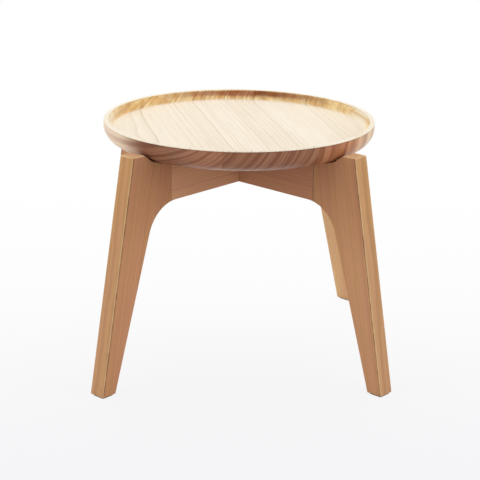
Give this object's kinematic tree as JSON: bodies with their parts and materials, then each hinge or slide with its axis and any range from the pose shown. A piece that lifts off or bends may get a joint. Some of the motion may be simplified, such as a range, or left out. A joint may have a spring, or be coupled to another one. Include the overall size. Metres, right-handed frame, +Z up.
{
  "type": "side table",
  "caption": "Low round side table: a lift-off turned wooden tray with a raised rim, held between the horns of crossed frames with splayed legs.",
  "frame": {"origin": "on the floor, under the middle of the table, where the frames cross", "axes": "+Z up; the frames lie on the diagonals of X and Y; the side seen in the picture faces -Y"},
  "size_m": [0.4826, 0.4826, 0.402],
  "materials": {
    "tray_wood": "pale softwood, thin matt lacquer",
    "frame_wood": "tan softwood, thin matt lacquer",
    "dowel_wood": "bare beech",
    "pad_rubber": "hard dark brown rubber"
  },
  "bodies": {
    "base": {"cross_rail_lower": "frame_wood", "cross_rail_upper": "frame_wood", "leg_front_left": "frame_wood", "leg_front_right": "frame_wood", "leg_back_left": "frame_wood", "leg_back_right": "frame_wood", "dowel_front_left_low": "dowel_wood", "dowel_front_left_high": "dowel_wood", "dowel_front_right_low": "dowel_wood", "dowel_front_right_high": "dowel_wood", "dowel_back_left_low": "dowel_wood", "dowel_back_left_high": "dowel_wood", "dowel_back_right_low": "dowel_wood", "dowel_back_right_high": "dowel_wood", "foot_pad_front_left": "pad_rubber", "foot_pad_front_right": "pad_rubber", "foot_pad_back_left": "pad_rubber", "foot_pad_back_right": "pad_rubber"},
    "tray": {"tray_board_left": "tray_wood", "tray_board_middle": "tray_wood", "tray_board_right": "tray_wood"}
  },
  "joints": [
    {"name": "tray_lift", "type": "slide", "parent": "base", "child": "tray", "axis": [0, 0, 1], "range_m": [0, 0.1]}
  ]
}
